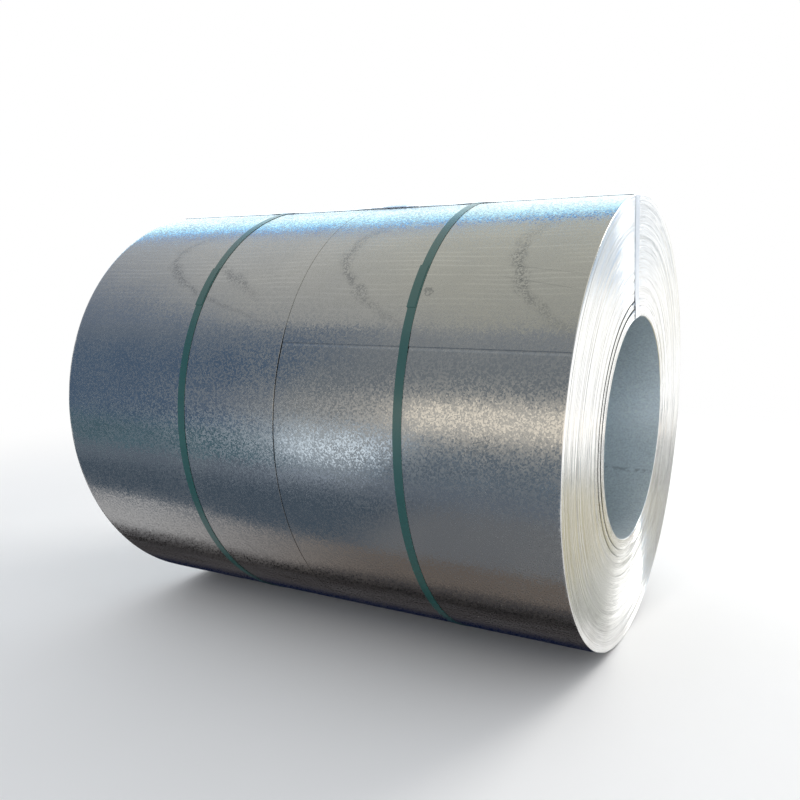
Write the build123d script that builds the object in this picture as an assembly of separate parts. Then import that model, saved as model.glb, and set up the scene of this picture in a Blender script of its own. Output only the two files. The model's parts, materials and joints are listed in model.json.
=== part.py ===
from build123d import *
from math import asin, degrees
import os

# Steel coil: two slit strips of galvanised sheet wound side by side on one bore.
# A green belly strap holds each strip, and one bare strap through the eye ties the two together.
# Millimetres. +X runs along the coil's axis, +Z is up, and the origin is on the floor under the middle.

# Wound strip
coil_diameter = 1020.0
bore_diameter = 508.0
strip_width = 625.0
end_bevel = 2.0  # the turns at the bore and at the rim are rounded off by handling
slit_edge_bevel = 1.0  # burr side of the slit edge, seen as a hairline between the strips
strip_thickness = 0.8
tail_round_angle = 66.0  # how far round from the top the near strip's outer turn ends

# Turn edges on the ends: groups of turns lie a little further in or out than their neighbours
telescope_depth = 3.0
turn_group_shares = (0.0, 0.09, 0.16, 0.3, 0.46, 0.62, 0.78, 0.92, 1.0)
turn_depth_shares = (0.0, 0.6, 0.15, 0.5, 0.2, 0.65, 0.4, 1.0)
slack_gap_count = 2  # the innermost groups have sprung away from the rest
slack_gap_width = 1.6
slack_gap_depth = 9.0

# Belly straps, round the outside of each strip
belly_strap_width = 19.0
belly_strap_thickness = 0.8
near_strap_distance = 282.5  # from the seam to the middle of the strap
far_strap_distance = 258.5
near_strap_lean_angle = 2.0
far_strap_lean_angle = 0.5
strap_lean_round_angle = 130.0  # how far round from the top the straps lean furthest to the near end
belly_lap_length = 102.0
belly_lap_end_angle = 57.0  # how far round from the top the outer layer ends
belly_lap_offset = 2.5

# Eye strap, along the top, down both ends and back through the bore
eye_strap_width = 32.0
eye_strap_thickness = 0.8
eye_strap_round_angle = 8.5  # how far round from the top it lies
eye_lap_length = 130.0

# Seal folded round the lap of the eye strap
seal_distance = 62.0
seal_length = 65.0
seal_thickness = 0.8
seal_fold_width = 10.0
crimp_count = 3
crimp_pitch = 19.0
crimp_side = 5.0  # square-cornered bites through the edges of the seal and of the strap inside it

# Fit of one piece on another, and how far a cutting shape runs past what it cuts
seat_gap = 0.1
overrun = 5.0

coil_radius = coil_diameter / 2
bore_radius = bore_diameter / 2
wound_wall = coil_radius - bore_radius
belly_inner_radius = coil_radius + seat_gap
belly_outer_radius = belly_inner_radius + belly_strap_thickness
eye_inner_radius = belly_outer_radius + seat_gap
eye_outer_radius = eye_inner_radius + eye_strap_thickness
eye_lap_radius = eye_outer_radius + eye_strap_thickness
seal_inner_radius = eye_lap_radius + seat_gap
seal_outer_radius = seal_inner_radius + seal_thickness
axis_height = belly_outer_radius


def tube(inner_radius, outer_radius, length, middle=0.0):
    """A tube round the coil's axis."""
    ring = Circle(outer_radius) - Circle(inner_radius)
    return Pos(X=middle) * extrude(Plane.YZ * ring, amount=length / 2, both=True)


def top_slab(width, length, middle=0.0):
    """A slab that stands on the axis, to keep a strap's width out of a tube."""
    height = seal_outer_radius + overrun
    return Pos(X=middle, Z=height / 2) * Box(length, width, height)


def end_outline():
    """Up a stepped end, from the bore to the rim, as distances from the seam and radii."""
    points = []
    for group, depth_share in enumerate(turn_depth_shares):
        inner = bore_radius + wound_wall * turn_group_shares[group]
        outer = bore_radius + wound_wall * turn_group_shares[group + 1]
        face = strip_width - telescope_depth * depth_share
        if group < slack_gap_count:
            gap_floor = strip_width - slack_gap_depth
            mouth = outer - slack_gap_width
            points += [(face, inner), (face, mouth), (gap_floor, mouth), (gap_floor, outer)]
        else:
            points += [(face, inner), (face, outer)]
    first_face = points[0][0]
    last_face = points[-1][0]
    bore_bevel = [(first_face - end_bevel, bore_radius), (first_face, bore_radius + end_bevel)]
    rim_bevel = [(last_face, coil_radius - end_bevel), (last_face - end_bevel, coil_radius)]
    return bore_bevel + points[1:-1] + rim_bevel


def wound_strip():
    """One slit strip wound up: its seam edge at the middle of the coil, its stepped end out along +X."""
    seam_rim = [(slit_edge_bevel, coil_radius), (0.0, coil_radius - slit_edge_bevel)]
    outline = end_outline() + seam_rim + [(0.0, bore_radius)]
    section = Plane.XZ * make_face(Polyline(*outline, close=True))
    return revolve(section, axis=Axis.X)


def tail_relief():
    """What the outer turn leaves bare past its end: a step of one thickness that dies out a quarter turn on."""
    reach = coil_radius + overrun
    past_end = Pos(X=-reach / 2) * Rectangle(reach, 2 * reach)
    inner_turn = Pos(Y=-strip_thickness) * Circle(coil_radius)
    relief = extrude(Plane.YZ * (past_end - inner_turn), amount=strip_width)
    return Rot(X=tail_round_angle) * relief


def belly_strap(place, lean):
    """A strap round one strip, leaning a little off square, with its outer end lapped over itself."""
    reach = coil_diameter + 2 * overrun
    course = Rot(X=strap_lean_round_angle) * Rot(Y=lean) * Box(belly_strap_width, reach, reach)
    band = tube(belly_inner_radius, belly_outer_radius, strip_width) & course
    lap_outer_radius = belly_outer_radius + belly_strap_thickness
    lap_heading = belly_lap_end_angle - degrees(asin(belly_lap_length / 2 / lap_outer_radius))
    layer = tube(belly_outer_radius, lap_outer_radius, strip_width) & (Pos(X=-belly_lap_offset) * course)
    layer = layer & (Rot(X=lap_heading) * top_slab(belly_lap_length, strip_width))
    return Pos(X=place) * (band + layer)


def crimp_bites():
    """Bites through both edges of the seal, in a row along each, with their corners inward."""
    edge = eye_strap_width / 2 + seat_gap + seal_thickness
    depth = seal_outer_radius + overrun
    bite = Pos(Z=depth / 2) * Rot(Z=45) * Box(crimp_side, crimp_side, depth)
    first = seal_distance - crimp_pitch * (crimp_count - 1) / 2
    places = [(first + crimp_pitch * row, side * edge) for row in range(crimp_count) for side in (-1, 1)]
    return [Pos(X=along, Y=across) * bite for along, across in places]


def eye_strap():
    """A loop round the wound wall, concentric with it outside and in the bore, its ends lapped under the seal."""
    inner_half_length = strip_width + seat_gap
    low = bore_radius - seat_gap
    opening_length = 2 * inner_half_length
    opening_height = eye_inner_radius - low
    opening = RectangleRounded(opening_length, opening_height, end_bevel)
    loop_length = opening_length + 2 * eye_strap_thickness
    loop_height = opening_height + 2 * eye_strap_thickness
    loop = RectangleRounded(loop_length, loop_height, end_bevel + eye_strap_thickness) - opening
    section = Plane.XZ * (Pos(Y=low + opening_height / 2) * loop)
    band = revolve(section, axis=Axis.X) & top_slab(eye_strap_width, loop_length)
    layer = tube(eye_outer_radius, eye_lap_radius, eye_lap_length, seal_distance)
    layer = layer & top_slab(eye_strap_width, eye_lap_length, seal_distance)
    lap_bites = [bite & tube(belly_inner_radius, seal_outer_radius, loop_length) for bite in crimp_bites()]
    return Rot(X=eye_strap_round_angle) * (band + layer - lap_bites)


def eye_strap_seal():
    """A sleeve folded round both layers of the eye strap, crimped along its two edges."""
    hollow_width = eye_strap_width + 2 * seat_gap
    sleeve_width = hollow_width + 2 * seal_thickness
    slot_width = sleeve_width - 2 * seal_fold_width
    sleeve = tube(belly_inner_radius, seal_outer_radius, seal_length, seal_distance)
    sleeve = sleeve & top_slab(sleeve_width, seal_length, seal_distance)
    hollow_length = seal_length + 2 * overrun
    hollow = tube(belly_outer_radius, seal_inner_radius, hollow_length, seal_distance)
    hollow = hollow & top_slab(hollow_width, hollow_length, seal_distance)
    slot = tube(belly_inner_radius - overrun, eye_inner_radius, hollow_length, seal_distance)
    slot = slot & top_slab(slot_width, hollow_length, seal_distance)
    return Rot(X=eye_strap_round_angle) * (sleeve - hollow - slot - crimp_bites())


pieces = {
    "near_slit_coil": wound_strip() - tail_relief(),
    "far_slit_coil": mirror(wound_strip(), about=Plane.YZ),
    "near_belly_strap": belly_strap(near_strap_distance, near_strap_lean_angle),
    "far_belly_strap": belly_strap(-far_strap_distance, far_strap_lean_angle),
    "eye_strap": eye_strap(),
    "eye_strap_seal": eye_strap_seal(),
}

os.makedirs("parts", exist_ok=True)
for name, piece in pieces.items():
    export_step(Pos(Z=axis_height) * piece, f"parts/{name}.step")
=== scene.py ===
import json
import math
import random

import bpy
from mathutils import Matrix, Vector


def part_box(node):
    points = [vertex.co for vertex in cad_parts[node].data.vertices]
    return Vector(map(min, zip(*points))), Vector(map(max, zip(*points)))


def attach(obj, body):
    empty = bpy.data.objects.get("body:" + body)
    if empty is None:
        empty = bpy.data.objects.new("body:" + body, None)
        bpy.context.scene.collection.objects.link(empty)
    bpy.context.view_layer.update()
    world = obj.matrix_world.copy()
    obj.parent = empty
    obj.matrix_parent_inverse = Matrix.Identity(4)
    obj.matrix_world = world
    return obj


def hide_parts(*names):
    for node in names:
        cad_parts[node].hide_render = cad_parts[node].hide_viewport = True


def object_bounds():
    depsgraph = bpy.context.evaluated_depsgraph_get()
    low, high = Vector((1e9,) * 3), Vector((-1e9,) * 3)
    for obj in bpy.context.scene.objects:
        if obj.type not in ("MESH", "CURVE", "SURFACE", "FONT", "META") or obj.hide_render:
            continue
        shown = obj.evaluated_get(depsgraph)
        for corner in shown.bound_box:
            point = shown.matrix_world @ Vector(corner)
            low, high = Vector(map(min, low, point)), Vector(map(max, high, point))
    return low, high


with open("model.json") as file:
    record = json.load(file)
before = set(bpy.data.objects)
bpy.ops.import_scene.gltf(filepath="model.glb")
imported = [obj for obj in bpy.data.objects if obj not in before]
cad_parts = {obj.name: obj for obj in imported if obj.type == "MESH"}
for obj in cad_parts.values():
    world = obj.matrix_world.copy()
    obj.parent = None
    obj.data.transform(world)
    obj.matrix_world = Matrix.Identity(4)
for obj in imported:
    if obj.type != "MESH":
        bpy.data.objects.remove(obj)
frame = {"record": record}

cad_low, cad_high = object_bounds()

# Slit coils: two strips of hot-dip galvanised sheet, slit from one width and wound side by side.
# The skin carries a small spangle, the ends show the cut edges of some three hundred turns,
# and the two coils meet at a hairline in the middle. Only the straps hold them.
bore = next(mount for mount in frame["record"]["mounts"] if mount["name"] == "eye_bore")
axis_point = Vector(bore["pos_m"])
bore_radius = bore["dims"]["r_mm"] / 1000
near_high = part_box("near_slit_coil")[1]
coil_radius = near_high.z - axis_point.z
strip_width = near_high.x
sheet_thickness = 0.0008
tail_angle = 66.0  # degrees from the top towards the front, as all angles on the coil are
tail_step = 1.1 * sheet_thickness
tail_spread = 0.0006  # how far the tail's corner stands back from the seam
kink_angle = 61.5
kink_drop = 0.001
coil_steps = 240
step_angle = 360 / coil_steps
skin_rings = 26
bore_rings = 8
band_count = 64  # groups of turns on an end
band_pitch = (coil_radius - bore_radius) / band_count
band_notch = 0.00022
band_depth = 0.003
band_scatter = 0.16
slack_bands = (6, 10)  # groups that have sprung away from the next one out
slack_width = 0.0036
slack_depth = 0.02
slack_opening = (-2, 22)  # angles over which the slack gaps open, narrow and close
slack_narrowing = (108, 124)
slack_closing = (150, 178)
slack_narrowed = 0.75
slack_closed = 0.92
turn_edge_start = strip_width - slack_depth - 0.001
bore_wall_depth = 0.003
bore_round = 0.0016
rim_round = 0.0018
rim_ring = 0.009
seam_gap = 0.00045
seam_depth = 0.005
seam_round = 0.0004
skin_depth = (0.004, 0.001)  # below the full radius: where the skin's own shape starts, and where it is whole
skin_wave = 0.0001
fine_wave = 0.00006
wave_room = 0.00016
edge_droop = 0.0005
edge_droop_width = 0.03


class Wire:
    """A value in a material's nodes: sums and products of wires add Math nodes."""

    def __init__(self, tree, socket=None):
        self.tree = tree
        self.socket = socket

    def node(self, kind, settings=(), sockets=(), output=0):
        """Adds any node: its settings are set first, then its sockets are filled or linked."""
        made = self.tree.nodes.new(kind)
        for key, value in dict(settings).items():
            setattr(made, key, value)
        for key, value in dict(sockets).items():
            if isinstance(value, Wire):
                self.tree.links.new(value.socket, made.inputs[key])
            else:
                made.inputs[key].default_value = value
        return Wire(self.tree, made.outputs[output])

    def math(self, operation, *others):
        """This number and others through a Math node."""
        return self.node("ShaderNodeMath", {"operation": operation}, enumerate((self, *others)))

    def __add__(self, other):
        return self.math("ADD", other)

    def __mul__(self, other):
        return self.math("MULTIPLY", other)

    def __sub__(self, other):
        return self.math("SUBTRACT", other)

    def __truediv__(self, other):
        return self.math("DIVIDE", other)

    def __rsub__(self, other):
        return (self * -1).math("ADD", other)

    __radd__ = __add__
    __rmul__ = __mul__

    def step(self, low, high):
        """0 below one value, 1 above the other, and smooth between them."""
        return self.node("ShaderNodeMapRange", {"interpolation_type": "SMOOTHSTEP"},
                         {"Value": self, "From Min": low, "From Max": high})

    def band(self, middle, half_width):
        """1 at a value, falling to 0 a half width to either side."""
        return 1 - (self - middle).math("ABSOLUTE").step(0.0, half_width)

    def noise(self, scale, detail=2.0, roughness=0.5, output=0):
        """Cloudy noise at this place, as a number or as a Color."""
        sockets = {"Vector": self, "Scale": scale, "Detail": detail, "Roughness": roughness}
        return self.node("ShaderNodeTexNoise", {}, sockets, output)

    def crystals(self, scale):
        """A random colour for each cell at this place."""
        return self.node("ShaderNodeTexVoronoi", {}, {"Vector": self, "Scale": scale}, "Color")

    def mix(self, first, second):
        """Two colours mixed by this wire."""
        return self.node("ShaderNodeMix", {"data_type": "RGBA"}, {0: self, 6: first, 7: second}, 2)

    def plus(self, other):
        """The sum of two vectors."""
        return self.node("ShaderNodeVectorMath", {"operation": "ADD"}, {0: self, 1: other})

    def times(self, factor):
        """A vector or colour scaled by a number."""
        return self.node("ShaderNodeVectorMath", {"operation": "SCALE"}, {0: self, "Scale": factor})

    def swing(self, reach):
        """A random colour as a vector that swings to all sides of zero."""
        return self.plus((-0.5, -0.5, -0.5)).times(reach)

    def length(self):
        """The length of a vector."""
        return self.node("ShaderNodeVectorMath", {"operation": "LENGTH"}, {0: self}, "Value")

    def part(self, name):
        """One number out of a vector: X, Y or Z."""
        return self.node("ShaderNodeSeparateXYZ", {}, {0: self}, name)

    def join(self, along, across, up):
        """A vector from three numbers."""
        return self.node("ShaderNodeCombineXYZ", {}, {0: along, 1: across, 2: up})


def start_material(name, metallic=0.0):
    """A material with one Principled shader: gives it, the shader and the Object coordinates."""
    material = bpy.data.materials.new(name)
    material.use_nodes = True
    shader = material.node_tree.nodes["Principled BSDF"]
    shader.inputs["Metallic"].default_value = metallic
    place = Wire(material.node_tree).node("ShaderNodeTexCoord", output="Object")
    return material, shader, place


def plug(shader, **wires):
    """Links wires to the shader's sockets of the same names."""
    for name, wire in wires.items():
        wire.tree.links.new(wire.socket, shader.inputs[name.replace("_", " ")])


def round_the_axis(place):
    """Where a point of the coil is: along the axis, degrees round from the top to the front, and out."""
    from_axis = place.plus((0.0, 0.0, -axis_point.z))
    along = from_axis.part("X")
    across = from_axis.part("Y") * -1
    up = from_axis.part("Z")
    angle = across.math("ARCTAN2", up) * (180 / math.pi)
    return along, angle, (across * across + up * up).math("SQRT")


def leaning_normal(place, lean):
    """The surface's normal, leant over by a vector."""
    leant = place.node("ShaderNodeNewGeometry", output="Normal").plus(lean)
    return leant.node("ShaderNodeVectorMath", {"operation": "NORMALIZE"}, {0: leant})


def water_stain(place, along, angle, speckle):
    """Three speckled arcs bent round the upper front, and a short trail beside the far strap."""
    wobble = (place.noise(28, 2) - 0.5) * 0.06
    from_middle = angle - 40.5
    bend = from_middle * from_middle
    stain = (along + 0.26 - (angle - 43.3) * 0.0134 + wobble).band(0.0, 0.034) * angle.band(49.5, 9)
    for left_end, spread in ((-0.405, 0.8e-3), (0.087, 0.42e-3), (0.472, 0.28e-3)):
        arc = (along - bend * spread - left_end + wobble).band(0.0, 0.028)
        stain = stain.math("MAXIMUM", arc)
    return stain * angle.band(46, 24) * speckle.step(0.68, 0.8)


def skin_finish():
    """Zinc skin: matt and mirror crystals side by side, faint pale cross streaks that are painted highlights
    off ripples, stains, and a grimy belly that is partly painted shade.
    """
    dull_zinc = (0.42, 0.43, 0.435, 1)
    pale_zinc = (0.455, 0.46, 0.455, 1)
    stain_grey = (0.13, 0.14, 0.16, 1)
    tail_dark = (0.06, 0.065, 0.07, 1)
    grime_and_shade_brown = (0.15, 0.125, 0.11, 1)
    material, shader, place = start_material("galvanised_skin", 1.0)
    along, angle, _ = round_the_axis(place)
    arc_per_degree = math.pi / 180 * coil_radius
    arc = angle * arc_per_degree

    grain = place.noise(220, 1.5, 0.6)
    blotch = place.noise(14, 2)
    crystal = place.plus(place.noise(340, 1, output="Color").swing(0.0045)).crystals(360)
    matt = (crystal.part("X") + (blotch - 0.5) * 0.6).step(0.4, 0.6)
    worn = place.noise(5, 2).step(0.3, 0.7)

    # Painted highlight: pale lines across the skin between 23 and 67 degrees stand in for light glancing off
    # ripples in the sheet.
    ripple_highlight = (arc * 82 + place.join(along * 2.5, arc * 4, 0.0).noise(1.0, 2) * 3.2).math("FRACT")
    ripple_highlight = ripple_highlight.band(0.5, 0.28) * place.join(along * 5, arc * 40, 2.0).noise(1.0, 2).step(0.38, 0.6)
    ripple_highlight = ripple_highlight * angle.band(45, 22)
    stain = water_stain(place, along, angle, crystal.part("Y") + grain * 0.5)
    smudge = place.join(along - 0.312, arc - 53 * arc_per_degree, 0.0)
    smudge = smudge.plus(place.noise(90, 2, output="Color").swing(0.02)).length().band(0.007, 0.004)
    scratch = (angle - along * 17 - 38.0).band(0.0, 0.22)
    scratch = scratch.math("MAXIMUM", (angle - along * 22 - 38.9).band(0.0, 0.22))
    scratch = scratch * along.step(0.44, 0.47) * (1 - along.step(0.59, 0.62))
    near_half = along.step(0.0, 0.002)
    tail_shadow = near_half * angle.band(tail_angle + 0.1, 0.2)
    tail_light = near_half * angle.band(tail_angle + 0.6, 0.4)
    # Grime and painted shade: below 122 degrees the belly darkens towards brown, partly real dirt and partly
    # painted shade for the dark ground it faces.
    grime_and_belly_shade = place.join(along * 5, arc * 45, 0.0).noise(1.0, 3, 0.6)
    grime_and_belly_shade = angle.step(122, 134) * (0.25 + grime_and_belly_shade.step(0.4, 0.6) * 0.35)

    shade = 0.97 + grain * 0.06 + ripple_highlight * 0.15 + tail_light * 0.2
    colour = worn.mix(dull_zinc, pale_zinc).times(shade)
    colour = (stain * 0.6 + smudge * 0.5 + scratch * 0.22).mix(colour, stain_grey)
    colour = (tail_shadow * 0.26).mix(colour, tail_dark)
    colour = grime_and_belly_shade.mix(colour, grime_and_shade_brown)
    roughness = 0.1 + matt * 0.22 + worn * 0.02
    plug(shader, Base_Color=colour, Roughness=roughness, Normal=leaning_normal(place, crystal.swing(0.07)))
    return material


def bore_finish():
    """Inside of the innermost turn: the same zinc, duller, but lighter and tinted blue as a painted
    reflection of sky, with a row of scuffs where it was gripped.
    """
    # Painted reflection: these tones are lighter and bluer than the skin's zinc, standing in for sky seen in
    # the bore.
    dull_zinc = (0.8, 0.875, 0.925, 1)
    pale_zinc = (0.855, 0.915, 0.955, 1)
    scuff_grey = (0.12, 0.14, 0.16, 1)
    material, shader, place = start_material("bore_skin", 1.0)
    _, angle, _ = round_the_axis(place)
    grain = place.noise(230, 1.5, 0.6)
    spangle = place.crystals(300).part("X")
    cloud = place.noise(7, 2)
    scuff = angle.band(-125, 1.9) * place.noise(85, 2).step(0.47, 0.56)
    colour = cloud.mix(dull_zinc, pale_zinc).times(0.77 + grain * 0.24 + spangle * 0.22)
    colour = (scuff * 0.38).mix(colour, scuff_grey)
    lean = place.noise(150, 1, output="Color").swing(0.04)
    plug(shader, Base_Color=colour, Roughness=0.28 + grain * 0.16, Normal=leaning_normal(place, lean))
    return material


def turn_edge_finish():
    """Cut edges of the turns: bright sheared steel in fine rings that lean in and out, dusty and greyer low
    down, partly as painted shade.
    """
    dark_edge = (0.46, 0.455, 0.44, 1)
    bright_edge = (0.92, 0.915, 0.9, 1)
    dust_and_shade_grey = (0.56, 0.53, 0.47, 1)
    material, shader, place = start_material("turn_edges", 1.0)
    along, angle, radius = round_the_axis(place)
    ring = place.join(radius * 1200, 0.0, 0.0).noise(1.0, 2, 0.6)
    group = place.join(radius * 75, 0.0, 3.0).noise(1.0, 3, 0.6)
    broken = place.join(radius * 900, angle * 0.12, along).noise(1.0, 2, 0.6)
    across = place.part("Y")
    up = place.part("Z") - axis_point.z
    tilt = (ring - 0.5) * 0.45 + (group - 0.5) * 0.42 + (broken - 0.5) * 0.35
    lean = place.join(0.0, across / radius * tilt, up / radius * tilt)
    # Dust and painted shade: the lower part of each end is mottled a warm grey, partly dust and partly
    # painted shade for the ground it faces.
    dust_and_low_shade = place.noise(9, 3).step(0.35, 0.75) * (up * -1).step(-0.25, 0.45)
    shade = (group * 0.4 + broken * 0.3 + ring * 0.3).step(0.36, 0.56)
    colour = (dust_and_low_shade * 0.3).mix(shade.mix(dark_edge, bright_edge), dust_and_shade_grey)
    plug(shader, Base_Color=colour, Roughness=0.14 + ring * 0.12, Normal=leaning_normal(place, lean))
    return material


def turn_depth(band):
    """How far in a group of turns lies, as a share of the depth: the groups by the bore have crept out."""
    if band < slack_bands[0]:
        return 0.04
    if band < slack_bands[1]:
        return 0.3
    return 0.5


def strip_outline(chance):
    """One strip's section from the seam: along the bore, up the turn edges and back along the skin."""
    seam_floor = coil_radius - seam_depth
    points = [(seam_gap, seam_floor), (0.0, seam_floor), (0.0, bore_radius)]
    points += [(strip_width * ring / bore_rings, bore_radius) for ring in range(1, bore_rings)]
    face = strip_width
    points += [(face - bore_round, bore_radius), (face, bore_radius + bore_round)]
    for band in range(1, band_count):
        radius = bore_radius + band_pitch * band
        last_face = face
        face = strip_width - band_depth * (turn_depth(band) + band_scatter * chance.random())
        if band in slack_bands:
            floor = strip_width - slack_depth
            mouth = radius - slack_width
            points += [(last_face, mouth), (floor, mouth), (floor, radius), (face, radius)]
        else:
            dip = min(face, last_face) - band_notch
            points += [(last_face, radius - band_notch), (dip, radius), (face, radius + band_notch)]
    points += [(face, coil_radius - rim_round), (face - 0.3 * rim_round, coil_radius - 0.3 * rim_round)]
    points += [(face - rim_round, coil_radius), (strip_width - rim_ring, coil_radius)]
    points += [(strip_width * ring / skin_rings, coil_radius) for ring in range(skin_rings - 1, 0, -1)]
    points += [(seam_gap + seam_round, coil_radius), (seam_gap, coil_radius - seam_round)]
    return points


def turned(name, outline, steps, sweep=360.0, start=0.0):
    """Draws a closed outline of (along, radius) points over the axis and spins it into a ring or arc."""
    bpy.ops.object.select_all(action="DESELECT")
    first_along, first_radius = outline[0]
    first_place = (first_along, 0.0, axis_point.z + first_radius)
    bpy.ops.mesh.primitive_plane_add(size=0.01, location=first_place)
    piece = bpy.context.object
    piece.name = name
    piece.data.name = name
    bpy.ops.object.mode_set(mode="EDIT")
    bpy.ops.mesh.select_mode(type="VERT")
    bpy.ops.mesh.select_all(action="SELECT")
    bpy.ops.mesh.merge(type="CENTER")
    for (along, radius), (next_along, next_radius) in zip(outline, outline[1:]):
        step = (next_along - along, 0.0, next_radius - radius)
        bpy.ops.mesh.extrude_region_move(TRANSFORM_OT_translate={"value": step})
    bpy.ops.mesh.select_all(action="SELECT")
    bpy.ops.mesh.edge_face_add()
    if sweep == 360.0:
        bpy.ops.mesh.delete(type="ONLY_FACE")
    bpy.ops.mesh.select_all(action="SELECT")
    bpy.ops.transform.rotate(value=math.radians(-start), orient_axis="X", center_override=axis_point)
    bpy.ops.mesh.spin(steps=steps, angle=math.radians(sweep), center=axis_point, axis=(1, 0, 0))
    bpy.ops.mesh.select_all(action="SELECT")
    bpy.ops.mesh.remove_doubles(threshold=1e-6)
    bpy.ops.mesh.normals_make_consistent(inside=False)
    bpy.ops.object.mode_set(mode="OBJECT")
    bpy.ops.object.transform_apply(location=True, rotation=True, scale=True)
    return piece


def reshape(piece, rule):
    """Moves each point of a piece by a rule on its place along, round and out from the axis."""
    for vertex in piece.data.vertices:
        across = -vertex.co.y
        up = vertex.co.z - axis_point.z
        round_angle = math.degrees(math.atan2(across, up))
        along, angle, radius = rule(vertex.co.x, round_angle, math.hypot(across, up))
        turn = math.radians(angle)
        vertex.co = (along, -radius * math.sin(turn), axis_point.z + radius * math.cos(turn))
    piece.data.update()


def smooth(value, low, high):
    """0 below one value, 1 above the other, and smooth between them."""
    share = min(max((value - low) / (high - low), 0.0), 1.0)
    return share * share * (3 - 2 * share)


def tail_drop(angle):
    """How far in the near strip lies: bent down before its tail, and one thickness lower past it."""
    kink_share = (angle - kink_angle) / (tail_angle - kink_angle)
    drop = kink_drop * min(max(kink_share, 0.0), 1.0)
    if angle > tail_angle + 0.5 * step_angle:
        drop += tail_step
    return drop * (1 - smooth(angle, tail_angle + 5, tail_angle + 80))


def settle_skin(along, angle, radius):
    """Lets the outer turns lie wavy, droops their edges and drops the near strip past its tail."""
    skin = smooth(radius, *(coil_radius - depth for depth in skin_depth))
    turn = math.radians(angle)
    wave = skin_wave * math.sin(along * 17 + 1.3) * math.sin(turn * 5 + along * 3)
    wave += fine_wave * math.sin(along * 41 + turn * 9)
    droop = edge_droop * smooth(abs(along), strip_width - edge_droop_width, strip_width)
    radius += (wave - wave_room - droop) * skin
    if along > 0:
        radius -= tail_drop(angle) * skin
        if 0.5 * step_angle < angle - tail_angle < 1.5 * step_angle:
            angle = tail_angle + 0.1
    if 0 < along < 0.01:
        beside_tail = smooth(angle, tail_angle - 6, tail_angle)
        beside_tail *= 1 - smooth(angle, tail_angle + 3, tail_angle + 9)
        along += tail_spread * beside_tail * skin
    return along, angle, radius


def settle_turns(along, angle, radius):
    """Closes the slack gaps where the turns still lie tight, which is behind and low down."""
    for band in slack_bands:
        mouth = bore_radius + band_pitch * band - slack_width
        at_mouth = abs(radius - mouth) < band_pitch / 8
        if at_mouth and abs(along) > turn_edge_start:
            slack = smooth(angle, *slack_opening) * (1 - smooth(angle, *slack_closing))
            slack *= 1 - slack_narrowed * smooth(angle, *slack_narrowing)
            radius += slack_width * slack_closed * (1 - slack)
    return along, angle, radius


finishes = (skin_finish(), bore_finish(), turn_edge_finish())
for side, node in ((1, "near_slit_coil"), (-1, "far_slit_coil")):
    outline = [(side * along, radius) for along, radius in strip_outline(random.Random(7 + side))]
    coil = turned(node + "_wound", outline, coil_steps)
    reshape(coil, settle_turns)
    reshape(coil, settle_skin)
    for material in finishes:
        coil.data.materials.append(material)
    for face in coil.data.polygons:
        reach = math.hypot(face.center.y, face.center.z - axis_point.z)
        if abs(face.center.x) > turn_edge_start and abs(face.normal.x) > 0.3:
            face.material_index = 2
        elif reach < bore_radius + bore_wall_depth:
            face.material_index = 1
    bpy.ops.object.shade_smooth_by_angle(angle=math.radians(30))
    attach(coil, "root")
    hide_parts(node)

# Belly straps: green painted steel strap, pulled tight round each strip and leaning a little off square.
# The outer end is lapped over the inner one on the front, above the middle.
belly_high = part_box("near_belly_strap")[1]
strap_inner = coil_radius + 0.00005
strap_outer = belly_high.z - axis_point.z
belly_width = 0.019
belly_edge = 0.00022
belly_bow = 0.0006
belly_lap = (45.5, 57.0)
belly_lap_steps = 12
belly_lap_offset = 0.0025
lean_heading = 130.0
belly_places = (("near_belly_strap", 0.2825, 2.0), ("far_belly_strap", -0.2585, 0.5))


def green_paint():
    """Green enamel on strap steel: satin, with a few scratches and chips rubbed pale."""
    dark_green = (0.005, 0.072, 0.067, 1)
    mid_green = (0.009, 0.088, 0.081, 1)
    rubbed_green = (0.2, 0.27, 0.26, 1)
    material, shader, place = start_material("green_strap_paint")
    along, angle, _ = round_the_axis(place)
    cloud = place.noise(24, 3)
    scratch = place.join(along * 900, angle * 0.35, 0.0).noise(1.0, 3, 0.6).step(0.66, 0.74)
    chip = place.noise(420, 2).step(0.68, 0.75)
    colour = (scratch * 0.25 + chip * 0.3).mix(cloud.mix(dark_green, mid_green), rubbed_green)
    flow = {"Strength": 0.12, "Distance": 0.0004, "Height": place.noise(300, 3)}
    bump = place.node("ShaderNodeBump", {}, flow)
    shader.inputs["Specular IOR Level"].default_value = 0.9
    plug(shader, Base_Color=colour, Roughness=0.24 + cloud * 0.12, Normal=bump)
    return material


def strap_outline(inner, outer):
    """Section of a flat belly strap with its edges eased."""
    half_width = belly_width / 2
    flat = half_width - belly_edge
    crown = half_width * 0.4
    low_edge = inner + belly_edge
    high_edge = outer - belly_edge
    return [(-flat, inner), (flat, inner), (half_width, low_edge), (half_width, high_edge),
            (flat, outer), (crown, outer), (-crown, outer), (-flat, outer),
            (-half_width, high_edge), (-half_width, low_edge)]


def join_pieces(pieces, name):
    """Makes one named piece of several."""
    bpy.ops.object.select_all(action="DESELECT")
    for piece in pieces:
        piece.select_set(True)
    bpy.context.view_layer.objects.active = pieces[0]
    bpy.ops.object.join()
    pieces[0].name = name
    pieces[0].data.name = name
    return pieces[0]


def leaning_course(strap_place, lean_angle):
    """The rule that sets a strap at its place, leaning off square and laid over the near strip's tail."""
    lean_reach = coil_radius * math.tan(math.radians(lean_angle))

    def lean_over(along, angle, radius):
        bow = belly_bow * math.sin(math.radians(angle) * 3 + strap_place * 9)
        lean = lean_reach * math.cos(math.radians(angle - lean_heading))
        if strap_place > 0:
            radius -= tail_drop(angle) * smooth(angle, kink_angle, tail_angle + 4)
        return strap_place + along + lean + bow, angle, radius

    return lean_over


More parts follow.
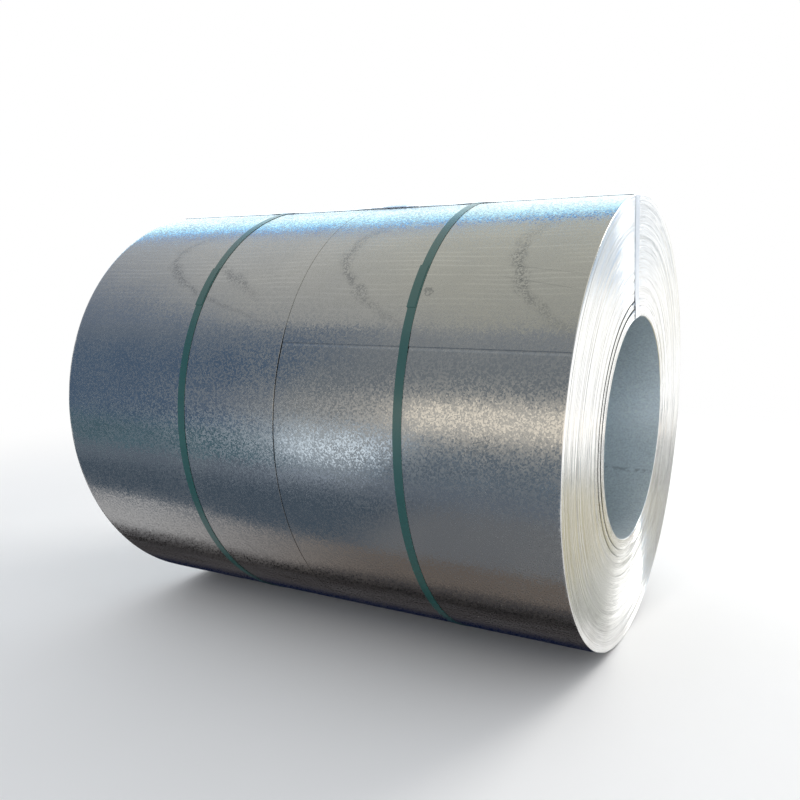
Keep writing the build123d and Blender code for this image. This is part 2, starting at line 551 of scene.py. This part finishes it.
strap_green = green_paint()
for node, strap_place, lean_angle in belly_places:
    ring = turned(node + "_ring", strap_outline(strap_inner, strap_outer), coil_steps)
    layer = strap_outline(strap_outer, 2 * strap_outer - strap_inner)
    layer = [(along - belly_lap_offset, radius) for along, radius in layer]
    lap = turned(node + "_lap", layer, belly_lap_steps, belly_lap[1] - belly_lap[0], belly_lap[1])
    strap = join_pieces([ring, lap], node + "_painted")
    reshape(strap, leaning_course(strap_place, lean_angle))
    strap.data.materials.append(strap_green)
    bpy.ops.object.shade_smooth_by_angle(angle=math.radians(40))
    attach(strap, "root")
    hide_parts(node)

# Eye strap: one bare zinc strap along the top, down both ends and back through the bore.
# It ties the two strips together, and its ends are lapped over each other on top.
eye_angle = 8.5
eye_width = 0.032
eye_columns = 6
strap_sheet = 0.0008
strap_edge = 0.00018
eye_top = coil_radius + 0.0014  # middle of the sheet where it lies on a belly strap
eye_rest = coil_radius + 0.0003  # and where it lies on the skin
eye_dip = 0.0019  # how far it is drawn in onto the turn edges
eye_end = cad_high.x - strap_sheet / 2
eye_bore = bore_radius - 0.0005
eye_corner = 0.0026
eye_lap = (-0.003, 0.127)
eye_lap_steps = 8
eye_stray_angle = 2.6
eye_stray_out = (-0.6, -0.2)
eye_stray_back = (0.12, 0.58)
eye_run_steps = 40
eye_crossings = (-0.2608, 0.2732)
crossing_lift = (0.014, 0.06)
seal_middle = 0.062
seal_lift = (0.075, 0.13)
end_run = ((eye_dip, 0.46), (eye_dip, 0.41), (eye_dip, 0.36), (0.0016, 0.305), (0.0, bore_radius + 0.026))


def bare_zinc(name, dull, bright, roughness):
    """Bare strap steel: drawn lines along it, a little tarnish, and paler slit edges, tinted blue and nearly
    non-metallic as a painted reflection of sky.
    """
    slit_edge_sky_blue = (0.52, 0.62, 0.8, 1)
    material, shader, place = start_material(name, 1.0)
    along, angle, radius = round_the_axis(place)
    drawn = place.join(along * 5, angle * 14, radius * 5).noise(1.0, 3, 0.6)
    tarnish = place.noise(35, 3).step(0.35, 0.7)
    normal = place.node("ShaderNodeNewGeometry", output="Normal")
    slit = normal.part("Y").math("ABSOLUTE").step(0.6, 0.9)
    # Painted reflection: the slit edges are pale blue and nearly non-metallic, standing in for sky seen in
    # them.
    colour = slit.mix((drawn * 0.6 + tarnish * 0.4).mix(dull, bright), slit_edge_sky_blue)
    plug(shader, Base_Color=colour, Roughness=roughness + drawn * 0.2, Metallic=1 - slit * 0.9)
    return material


def strap_stray(along):
    """How many degrees the top run strays to the front between the ends."""
    return eye_stray_angle * smooth(along, *eye_stray_out) * (1 - smooth(along, *eye_stray_back))


def wrap_eye_strap(along, angle, radius):
    """Curls a flat strap's width round the axis and swings it to its place beside the top."""
    turn = math.radians(angle)
    out = radius * math.cos(turn)
    place = eye_angle + strap_stray(along) * smooth(out, bore_radius + 0.1, coil_radius)
    return along, place + math.degrees(math.asin(radius * math.sin(turn) / out)), out


def strap_run(name, path):
    """Draws a strap's middle sheet along (along, radius) points, at its full width, and thickens it."""
    bpy.ops.object.select_all(action="DESELECT")
    first_along, first_radius = path[0]
    first_place = (first_along, 0.0, axis_point.z + first_radius)
    bpy.ops.mesh.primitive_plane_add(size=eye_width, location=first_place)
    piece = bpy.context.object
    piece.name = name
    piece.data.name = name
    bpy.ops.object.mode_set(mode="EDIT")
    bpy.ops.mesh.select_mode(type="VERT")
    bpy.ops.mesh.select_all(action="SELECT")
    bpy.ops.transform.resize(value=(0.0, 1.0, 1.0))
    bpy.ops.mesh.remove_doubles(threshold=1e-6)
    bpy.ops.mesh.select_all(action="SELECT")
    bpy.ops.mesh.subdivide(number_cuts=eye_columns - 1)
    bpy.ops.mesh.select_mode(type="EDGE")
    bpy.ops.mesh.select_all(action="SELECT")
    for (along, radius), (next_along, next_radius) in zip(path, path[1:]):
        step = (next_along - along, 0.0, next_radius - radius)
        bpy.ops.mesh.extrude_region_move(TRANSFORM_OT_translate={"value": step})
    bpy.ops.mesh.select_all(action="SELECT")
    bpy.ops.mesh.remove_doubles(threshold=1e-6)
    bpy.ops.mesh.normals_make_consistent(inside=False)
    bpy.ops.object.mode_set(mode="OBJECT")
    bpy.ops.object.transform_apply(location=True, rotation=True, scale=True)
    reshape(piece, wrap_eye_strap)
    thick = piece.modifiers.new("sheet", "SOLIDIFY")
    thick.thickness = strap_sheet
    thick.offset = 0.0
    bpy.ops.object.modifier_apply(modifier=thick.name)
    eased = piece.modifiers.new("edges", "BEVEL")
    eased.width = strap_edge
    eased.segments = 1
    eased.limit_method = "ANGLE"
    eased.angle_limit = math.radians(50)
    bpy.ops.object.modifier_apply(modifier=eased.name)
    return piece


def strap_height(along):
    """How far out the top run lies: down on the skin, but up over the belly straps and under the seal."""
    lifts = [1 - smooth(abs(along - crossing), *crossing_lift) for crossing in eye_crossings]
    lifts.append(1 - smooth(abs(along - seal_middle), *seal_lift))
    return eye_rest + (eye_top - eye_rest) * max(lifts)


def corner(along, radius, start):
    """Points round a bend of the strap, a quarter turn on from a start angle."""
    turns = [math.radians(start - 15 * step) for step in range(7)]
    return [(along + eye_corner * math.cos(turn), radius + eye_corner * math.sin(turn)) for turn in turns]


straight = [eye_end * step / eye_run_steps for step in range(1 - eye_run_steps, eye_run_steps)]
loop = corner(-eye_end + eye_dip + eye_corner, eye_rest - eye_corner, 180)
loop += [(along, strap_height(along)) for along in straight]
loop += corner(eye_end - eye_dip - eye_corner, eye_rest - eye_corner, 90)
loop += [(eye_end - dip, radius) for dip, radius in end_run]
loop += corner(eye_end - eye_corner, eye_bore + eye_corner, 0)
loop += [(along, eye_bore) for along in straight[::-8]]
loop += corner(-eye_end + eye_corner, eye_bore + eye_corner, -90)
loop += [(dip - eye_end, radius) for dip, radius in reversed(end_run)]
loop.append(loop[0])
lap_top = eye_top + strap_sheet
lap_step = (eye_lap[1] - eye_lap[0]) / eye_lap_steps
lap_path = [(eye_lap[0] + lap_step * step, lap_top) for step in range(eye_lap_steps + 1)]
eye_strap = join_pieces([strap_run("eye_loop", loop), strap_run("eye_lap", lap_path)], "eye_strap_bare")
strap_zinc = bare_zinc("bare_strap_zinc", (0.7, 0.72, 0.75, 1), (0.9, 0.91, 0.92, 1), 0.14)
eye_strap.data.materials.append(strap_zinc)
bpy.ops.object.shade_smooth_by_angle(angle=math.radians(35))
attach(eye_strap, "root")
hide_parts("eye_strap")

# Seal: a short sleeve of strap steel, folded round both layers of the eye strap.
# A sealer has bitten three crimps through each of its edges.
seal_length = 0.065
seal_steps = 52
seal_half_width = 0.0169
seal_sheet = 0.0007
seal_top = lap_top + strap_sheet / 2 + 0.0009
seal_low = coil_radius + 0.0001
seal_fold = 0.01
seal_swell = 0.0003
seal_swell_half_length = 0.02
seal_crown = 0.002  # how far down from its top the sleeve gives when it is crimped
crimp_pitch = 0.019
crimp_half_length = 0.0045
crimp_bite = 0.0036
crimp_press = 0.0006
crimp_reach = (0.009, 0.0165)


def crimp(along, angle, radius):
    """Bites the seal's edges in and down, and swings it to its place on the strap."""
    turn = math.radians(angle)
    out = radius * math.cos(turn)
    across = radius * math.sin(turn)
    from_middle = along - seal_middle
    depth = max(1 - abs(from_middle - row * crimp_pitch) / crimp_half_length for row in (-1, 0, 1))
    bite = max(depth, 0.0) * smooth(abs(across), *crimp_reach)
    across -= math.copysign(crimp_bite * bite, across)
    out -= crimp_press * bite * smooth(out, seal_top - seal_crown, seal_top)
    sunk = seal_swell * smooth(abs(from_middle), seal_swell_half_length, seal_length / 2)
    out -= sunk * smooth(out, seal_top - seal_crown, seal_top)
    return along, eye_angle + strap_stray(along) + math.degrees(math.asin(across / out)), out


def half_sleeve(inset, corner_size):
    """Half of the sleeve's section, from the edge of its fold under the strap to the middle of its top."""
    side = seal_half_width - inset
    low = seal_low + inset
    top = seal_top - inset
    return [(seal_half_width - seal_fold, low), (side - corner_size, low), (side, low + corner_size),
            (side, top - corner_size), (side - corner_size, top), (seal_half_width * 0.5, top)]


outside = half_sleeve(0.0, 0.0008)
inside = half_sleeve(seal_sheet, 0.0003)
section = outside + [(-across, radius) for across, radius in reversed(outside)]
section += [(-across, radius) for across, radius in inside] + inside[::-1]
bpy.ops.object.select_all(action="DESELECT")
bpy.ops.mesh.primitive_circle_add(vertices=len(section), radius=0.01, fill_type="NGON")
seal = bpy.context.object
seal.name = "eye_strap_seal_crimped"
seal.data.name = seal.name
for vertex, (across, radius) in zip(seal.data.vertices, section):
    vertex.co = (seal_middle - seal_length / 2, -across, axis_point.z + radius)
bpy.ops.object.mode_set(mode="EDIT")
bpy.ops.mesh.select_all(action="SELECT")
for _ in range(seal_steps):
    bpy.ops.mesh.extrude_region_move(TRANSFORM_OT_translate={"value": (seal_length / seal_steps, 0, 0)})
bpy.ops.mesh.select_all(action="SELECT")
bpy.ops.mesh.normals_make_consistent(inside=False)
bpy.ops.object.mode_set(mode="OBJECT")
reshape(seal, crimp)
# Painted reflection: the seal's blue-grey tones stand in for sky seen in its bare zinc.
seal.data.materials.append(bare_zinc("seal_zinc", (0.34, 0.42, 0.54, 1), (0.58, 0.66, 0.78, 1), 0.25))
bpy.ops.object.shade_smooth_by_angle(angle=math.radians(40))
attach(seal, "root")
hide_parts("eye_strap_seal")

# Floor: a plain sheet of pale matt paper that the coil stands on and throws its shadow on.
# It fades to white well away from the coil, so that it meets the dome without an edge.
floor_radius = 30.0
floor_fade = (1.7, 3.6)


def seen_directly(wire):
    """1 for rays from the camera or by way of a mirror or glass."""
    direct = wire.node("ShaderNodeLightPath", output="Is Camera Ray")
    sockets = direct.socket.node.outputs
    for name in ("Is Glossy Ray", "Is Transmission Ray"):
        direct = direct.math("MAXIMUM", Wire(wire.tree, sockets[name]))
    return direct


bpy.ops.object.select_all(action="DESELECT")
bpy.ops.mesh.primitive_circle_add(vertices=96, radius=floor_radius, fill_type="NGON", location=(0, 0, 0))
floor = bpy.context.object
floor.name = "floor"
paper, paper_shader, paper_place = start_material("floor_paper")
paper_shader.inputs["Roughness"].default_value = 0.9
paper_shader.inputs["Specular IOR Level"].default_value = 0.1
paper_tone = paper_place.noise(3, 2).mix((0.86, 0.86, 0.855, 1), (0.88, 0.88, 0.88, 1))
plug(paper_shader, Base_Color=paper_tone)
white = paper_place.node("ShaderNodeEmission", {}, {"Strength": 1.0})
fade = paper_place.length().step(*floor_fade) * seen_directly(paper_place)
lit = Wire(paper.node_tree, paper_shader.outputs["BSDF"])
faded = paper_place.node("ShaderNodeMixShader", {}, {0: fade, 1: lit, 2: white})
paper.node_tree.links.new(faded.socket, paper.node_tree.nodes["Material Output"].inputs["Surface"])
floor.data.materials.append(paper)


# Studio cards: plain glowing sheets set round the coil, seen only as reflections in the metal.
# A warm one hangs overhead with a blue edge, a white one stands behind, dark ones lie and stand in front,
# and one lies beside the near end. Past their edges the metal shows the white dome.
def card(name, left, right, first_edge, second_edge, tone):
    """A card from left to right between two edges, each given as (across, up)."""
    bpy.ops.object.select_all(action="DESELECT")
    bpy.ops.mesh.primitive_plane_add(size=1.0)
    sheet = bpy.context.object
    sheet.name = name
    corners = [(along, *edge) for edge in (first_edge, second_edge) for along in (left, right)]
    for vertex, spot in zip(sheet.data.vertices, corners):
        vertex.co = spot
    material = bpy.data.materials.new(name)
    material.use_nodes = True
    tree = material.node_tree
    tree.nodes.clear()
    place = Wire(tree).node("ShaderNodeTexCoord", output="Object")
    glow = place.node("ShaderNodeEmission", {}, {"Color": tone(place), "Strength": 1.0})
    output = tree.nodes.new("ShaderNodeOutputMaterial")
    tree.links.new(glow.socket, output.inputs["Surface"])
    sheet.data.materials.append(material)
    for kind in ("camera", "diffuse", "transmission", "volume_scatter", "shadow"):
        setattr(sheet, "visible_" + kind, False)


def overhead_tone(place):
    """Warm, dimmer to the front, cool at the far left and bluish along the back edge."""
    to_front = (place.part("Y") * -1).step(-1.4, 2.3)
    to_left = place.part("X") * -1
    sunny = place.part("X").step(-1.8, -0.7)
    warm_back = sunny.mix((0.875, 0.87, 0.84, 1), (0.885, 0.87, 0.765, 1))
    warm_front = sunny.mix((0.61, 0.605, 0.585, 1), (0.62, 0.61, 0.54, 1))
    cool = to_front.mix((0.62, 0.64, 0.68, 1), (0.26, 0.32, 0.42, 1))
    tone = to_left.step(2.3, 3.4).mix(to_front.mix(warm_back, warm_front), cool)
    back_edge = place.part("Y").step(0.65, 1.25) * to_left.step(0.4, 1.8)
    return back_edge.mix(tone, (0.5, 0.6, 0.82, 1))


def eaves_tone(place):
    """Blue next to the overhead card, deeper to the right, and paler towards the back."""
    right = place.part("X").step(-1.7, -0.4)
    shaded = right.mix((0.3, 0.68, 1.4, 1), (0.14, 0.34, 0.88, 1))
    return (place.part("Y") - right * 0.07).step(1.3, 1.75).mix(shaded, (0.75, 1.55, 2.2, 1))


def back_tone(place):
    """White, bluer high up, with a blue streak at the left and a cool patch at the right."""
    up = place.part("Z")
    along = place.part("X")
    tone = up.step(1.2, 3.2).mix((1.9, 1.95, 1.95, 1), (1.75, 1.95, 1.95, 1))
    tone = up.step(3.4, 5.0).mix(tone, (1.15, 1.9, 2.1, 1))
    streak = up.band(2.9, 0.4) * along.step(-6.0, -4.0) * (1 - along.step(-2.4, -1.2))
    tone = (streak * 0.8).mix(tone, (0.45, 0.85, 1.4, 1))
    tone = along.step(-0.5, 0.8).mix(tone, (1.3, 1.31, 1.3, 1))
    cool = along.step(1.64, 1.78) * up.step(0.78, 0.98)
    return cool.mix(tone, (0.47, 0.585, 0.72, 1))


def front_tone(place):
    """Dark grey, bluer to the left, mottled low down, with a warm strip at the right and a pale patch."""
    depth = place.part("Y") * -1 - 0.5
    side = place.part("X") / depth
    rise = (place.part("Z") - 0.6) / depth
    far_out = (side * -1).step(0.75, 1.15)
    low = (rise * -1).step(0.05, 0.3)
    near_tone = low.mix((0.3, 0.33, 0.36, 1), (0.2, 0.25, 0.31, 1))
    far_tone = low.mix((0.13, 0.2, 0.31, 1), (0.13, 0.22, 0.27, 1))
    high = place.part("Z").step(1.9, 3.3) * (0.8 - far_out * 0.45)
    tone = high.mix(far_out.mix(near_tone, far_tone), (0.47, 0.49, 0.51, 1))
    mottle = place.noise(4.5, 2).step(0.35, 0.65) * (1 - rise.step(-0.1, 0.3))
    tone = tone.times(rise.step(0.0, 0.3) * 0.15 + 0.85 + mottle * 0.4)
    strip = rise.band(0.15, 0.29) * (side.step(-1.35, -1.0) * 0.08 + side.step(-0.62, -0.45) * 0.92)
    tone = strip.mix(tone, (1.65, 1.48, 1.25, 1))
    patch = rise.band(-0.3, 0.42) * (1 - side.step(-0.6, -0.42))
    patch = patch * (side.step(-1.15, -0.9) * 0.2 + side.step(-0.9, -0.8) * 0.8)
    return patch.mix(tone, (1.35, 1.52, 1.68, 1))


def ground_tone(place):
    """Nearly black under the coil, then a strip, brown at the right and grey at the left, then dark."""
    out = place.part("Y") * -1
    along = place.part("X")
    left = 1 - along.step(-0.9, 0.15)
    tone = along.step(-0.15, 0.1).mix((0.11, 0.15, 0.2, 1), (0.26, 0.27, 0.29, 1))
    tone = out.step(0.88, 1.15).mix(tone, (0.22, 0.26, 0.32, 1))
    patch = along.step(-0.75, -0.68) * (1 - along.step(-0.45, -0.25)) * out.step(1.05, 1.3)
    tone = patch.mix(tone, (0.5, 0.57, 0.68, 1))
    below = out.step(0.21, 0.265).mix((0.0, 0.005, 0.03, 1), (0.09, 0.085, 0.09, 1))
    below = below.times(1 - out.band(0.352, 0.04) * 0.8)
    tone = out.step(0.45, 0.52).mix(below, tone)
    strip = (out + along.band(-0.25, 0.35) * 0.035).step(0.4, 0.44)
    strip = strip * (1 - (out - left * left * 0.09).step(0.535, 0.585))
    return strip.mix(tone, left.mix((0.24, 0.2, 0.175, 1), (0.66, 0.65, 0.66, 1)))


def side_tone(place):
    """A white wedge between a grey fan and a darker one, warm in front and white far out."""
    along = place.part("X")
    back = place.part("Y")
    wedge = back - (along - 0.62) * 4.5
    tone = wedge.step(-0.1, 0.1).mix((0.4, 0.412, 0.38, 1), (0.17, 0.185, 0.185, 1))
    warm = along.step(0.8, 0.9) * (1 - back.step(1.1, 1.5))
    tone = warm.mix(tone, (0.5, 0.465, 0.33, 1))
    bright = wedge.step(-0.24, -0.17) * (1 - wedge.step(0.05, 0.13))
    tone = bright.mix(tone, (1.6, 1.6, 1.58, 1))
    tone = back.step(-0.1, 0.08).mix((0.8, 0.8, 0.79, 1), tone)
    beyond = back + along * 4.2
    return beyond.step(6.9, 7.65).mix(tone, (1.3, 1.3, 1.28, 1))


card("overhead_card", -8, 4, (-2.25, 3), (1.3, 3), overhead_tone)
card("eaves_card", -8, 4, (1.3, 3), (1.85, 3), eaves_tone)
card("back_card", -10, 5, (4, 0.02), (4, 6.5), back_tone)
card("ground_card", -2.2, 0.64, (-0.15, 0.012), (-1.35, 0.04), ground_tone)
card("side_card", 0.66, 4, (-0.1, 0.012), (3.99, 0.012), side_tone)
card("front_card", -8, 3, (-2.6, 0.3), (-2.6, 4.6), front_tone)
card("apron_card", -8, 3, (-1.35, 0.04), (-2.6, 0.3), front_tone)

# Studio light: a soft dome all round, and one large soft box at the back right.
# The dome is white where it is seen directly or in the metal, and a little cooler where it lights.
key_heading = Vector((0.46, 0.7, 0.55))
key_distance = 4.2
world = bpy.data.worlds.new("studio_dome")
bpy.context.scene.world = world
world.use_nodes = True
dome = world.node_tree.nodes["Background"]
dome_tone = seen_directly(Wire(world.node_tree)).mix((0.85, 0.87, 0.9, 1), (1, 1, 1, 1))
world.node_tree.links.new(dome_tone.socket, dome.inputs["Color"])
key_data = bpy.data.lights.new("key_softbox", "AREA")
key_data.size = 2.0
key_data.energy = 90
key_data.color = (1.0, 0.97, 0.92)
key = bpy.data.objects.new("key_softbox", key_data)
bpy.context.scene.collection.objects.link(key)
key.location = axis_point + key_heading * key_distance
key.rotation_euler = (axis_point - key.location).to_track_quat("-Z", "Y").to_euler()

# Camera: the photograph's angle and framing, fitted to the coil's outline.
# It stands in front of the near end, a little higher than the coil, and looks down at it.
camera_dip_angle = 12.75
camera_heading_angle = 26.24
camera_data = bpy.data.cameras.new("camera")
camera_data.sensor_width = 36
camera_data.lens = 34.16
camera_data.shift_x = -0.0825
camera_data.shift_y = 0.0788
camera = bpy.data.objects.new("camera", camera_data)
bpy.context.scene.collection.objects.link(camera)
camera.location = (1.0339, -1.7093, 0.8188)
camera.rotation_euler = (math.radians(90 - camera_dip_angle), 0, math.radians(camera_heading_angle))
bpy.context.scene.camera = camera
bpy.context.scene.view_settings.view_transform = "Standard"
